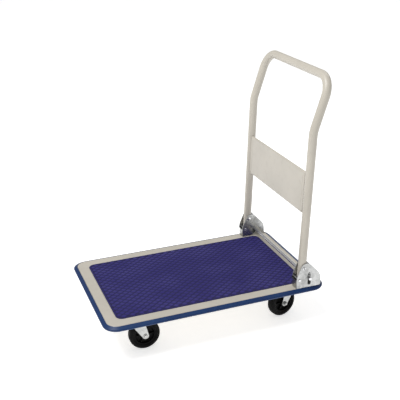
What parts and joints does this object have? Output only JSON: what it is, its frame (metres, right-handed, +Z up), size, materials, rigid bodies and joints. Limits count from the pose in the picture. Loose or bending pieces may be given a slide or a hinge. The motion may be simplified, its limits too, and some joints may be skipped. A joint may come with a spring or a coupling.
{
  "type": "folding platform cart",
  "caption": "Flat steel platform cart with a ribbed blue mat, a corner-rounded edge bumper, casters and a tube handle that folds down over the deck.",
  "frame": {"origin": "on the floor under the middle of the whole cart's box, with the handle upright", "axes": "+X from the front of the deck towards the handle end, +Y towards the right-hand side of a person who stands behind the handle and faces the deck, +Z up"},
  "size_m": [0.7449, 0.48, 0.8241],
  "materials": {
    "cream_paint": "smooth warm cream-grey enamel, semi-gloss",
    "blue_mat": "dark blue-violet moulded mat with a fine diamond pattern, satin",
    "blue_bumper": "navy extruded vinyl, satin",
    "zinc_plate": "bright zinc-plated pressed steel",
    "bright_steel": "bright drawn steel",
    "black_rubber": "matt black solid rubber",
    "black_plastic": "black moulded plastic, satin"
  },
  "bodies": {
    "deck": {"deck_pan": "cream_paint", "anti_slip_mat": "blue_mat", "edge_bumper": "blue_bumper", "front_cross_member": "cream_paint", "rear_cross_member": "cream_paint", "deck_stiffener_left": "cream_paint", "deck_stiffener_right": "cream_paint", "hinge_bracket_left": "zinc_plate", "hinge_bracket_right": "zinc_plate", "handle_pivot_pin_left": "bright_steel", "handle_pivot_pin_right": "bright_steel", "stop_pin_left": "bright_steel", "stop_pin_right": "bright_steel", "bracket_bolt_left_front": "zinc_plate", "bracket_bolt_left_rear": "zinc_plate", "bracket_bolt_right_front": "zinc_plate", "bracket_bolt_right_rear": "zinc_plate", "foot_bar_spring_left": "zinc_plate", "foot_bar_spring_right": "zinc_plate", "front_left_fixed_fork": "zinc_plate", "front_left_bearing_sleeve": "zinc_plate", "front_left_axle_bolt": "zinc_plate", "front_left_axle_nut": "zinc_plate", "front_right_fixed_fork": "zinc_plate", "front_right_bearing_sleeve": "zinc_plate", "front_right_axle_bolt": "zinc_plate", "front_right_axle_nut": "zinc_plate", "rear_left_swivel_plate": "zinc_plate", "rear_left_kingpin": "zinc_plate", "rear_right_swivel_plate": "zinc_plate", "rear_right_kingpin": "zinc_plate"},
    "foot_bar": {"foot_bar": "bright_steel"},
    "handle": {"handle_tube": "cream_paint", "handle_panel": "cream_paint"},
    "rear_left_swivel": {"rear_left_ball_race": "zinc_plate", "rear_left_swivel_fork": "zinc_plate", "rear_left_bearing_sleeve": "zinc_plate", "rear_left_axle_bolt": "zinc_plate", "rear_left_axle_nut": "zinc_plate"},
    "rear_right_swivel": {"rear_right_ball_race": "zinc_plate", "rear_right_swivel_fork": "zinc_plate", "rear_right_bearing_sleeve": "zinc_plate", "rear_right_axle_bolt": "zinc_plate", "rear_right_axle_nut": "zinc_plate"},
    "front_left_wheel": {"front_left_tyre": "black_rubber", "front_left_wheel_centre": "black_plastic"},
    "front_right_wheel": {"front_right_tyre": "black_rubber", "front_right_wheel_centre": "black_plastic"},
    "rear_left_wheel": {"rear_left_tyre": "black_rubber", "rear_left_wheel_centre": "black_plastic"},
    "rear_right_wheel": {"rear_right_tyre": "black_rubber", "rear_right_wheel_centre": "black_plastic"}
  },
  "joints": [
    {"name": "handle_fold", "type": "hinge", "parent": "deck", "child": "handle", "pos_m": [0.2855, 0, 0.2035], "axis": [0, -1, 0], "range_deg": [0, 99.5]},
    {"name": "foot_bar_press", "type": "slide", "parent": "deck", "child": "foot_bar", "axis": [0, 0, -1], "range_m": [0, 0.017], "stiffness_N_per_m": 900, "springref_m": -0.01, "deforming": ["foot_bar_spring_left", "foot_bar_spring_right"]},
    {"name": "rear_left_swivel_turn", "type": "hinge", "parent": "deck", "child": "rear_left_swivel", "pos_m": [0.2725, -0.141, 0.1], "axis": [0, 0, 1], "continuous": true},
    {"name": "rear_right_swivel_turn", "type": "hinge", "parent": "deck", "child": "rear_right_swivel", "pos_m": [0.2725, 0.141, 0.1], "axis": [0, 0, 1], "continuous": true},
    {"name": "front_left_wheel_spin", "type": "hinge", "parent": "deck", "child": "front_left_wheel", "pos_m": [-0.2355, -0.162, 0.05], "axis": [0, 1, 0], "continuous": true},
    {"name": "front_right_wheel_spin", "type": "hinge", "parent": "deck", "child": "front_right_wheel", "pos_m": [-0.2355, 0.162, 0.05], "axis": [0, 1, 0], "continuous": true},
    {"name": "rear_left_wheel_spin", "type": "hinge", "parent": "rear_left_swivel", "child": "rear_left_wheel", "pos_m": [0.24912, -0.1464, 0.05], "axis": [0.225, -0.9744, 0], "continuous": true},
    {"name": "rear_right_wheel_spin", "type": "hinge", "parent": "rear_right_swivel", "child": "rear_right_wheel", "pos_m": [0.24912, 0.1464, 0.05], "axis": [-0.225, -0.9744, 0], "continuous": true}
  ]
}
